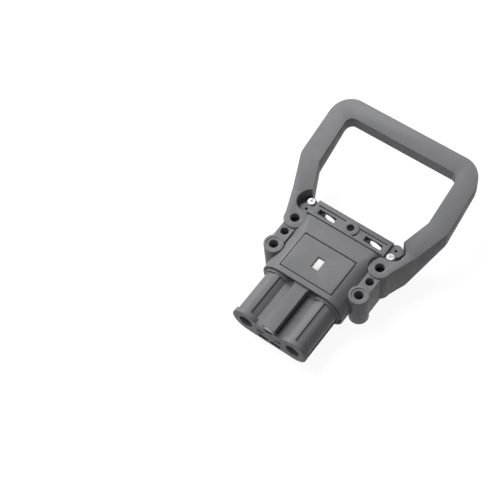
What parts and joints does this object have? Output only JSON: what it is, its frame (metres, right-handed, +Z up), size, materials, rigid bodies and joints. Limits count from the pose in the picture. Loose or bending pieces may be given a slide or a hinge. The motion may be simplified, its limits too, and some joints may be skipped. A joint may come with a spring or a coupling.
{
  "type": "forklift battery connector",
  "caption": "Grey moulded high-current battery plug with a two-lobed nose, a screwed cable clamp and a long D-shaped carrying handle.",
  "frame": {"origin": "on the underside, midway between the middle pair of ear holes", "axes": "+X across the plug to its right, +Y from the nose towards the handle, +Z up from the underside"},
  "size_m": [0.1888, 0.27, 0.0833],
  "materials": {
    "grey_plastic": "satin, fine moulded grain",
    "white_plastic": "smooth, off-white",
    "zinc_steel": "bright zinc plate",
    "dark_steel": "black oxide",
    "silvered_copper": "silver plate on copper",
    "spring_steel": "bare spring steel"
  },
  "bodies": {
    "root": {"housing": "grey_plastic", "cover_plate": "grey_plastic", "pilot_carrier": "grey_plastic", "clamp_upper": "grey_plastic", "clamp_lower": "grey_plastic", "handle": "grey_plastic", "coding_pin": "white_plastic", "clamp_screw_top_left": "zinc_steel", "clamp_screw_top_right": "zinc_steel", "clamp_screw_under_left": "zinc_steel", "clamp_screw_under_right": "zinc_steel", "handle_screw_left": "dark_steel", "handle_screw_right": "dark_steel", "handle_nut_left": "zinc_steel", "handle_nut_right": "zinc_steel", "main_contact_left": "silvered_copper", "main_contact_right": "silvered_copper", "pilot_contact_left": "silvered_copper", "pilot_contact_right": "silvered_copper", "contact_ring_left": "spring_steel", "contact_ring_right": "spring_steel"}
  },
  "joints": []
}
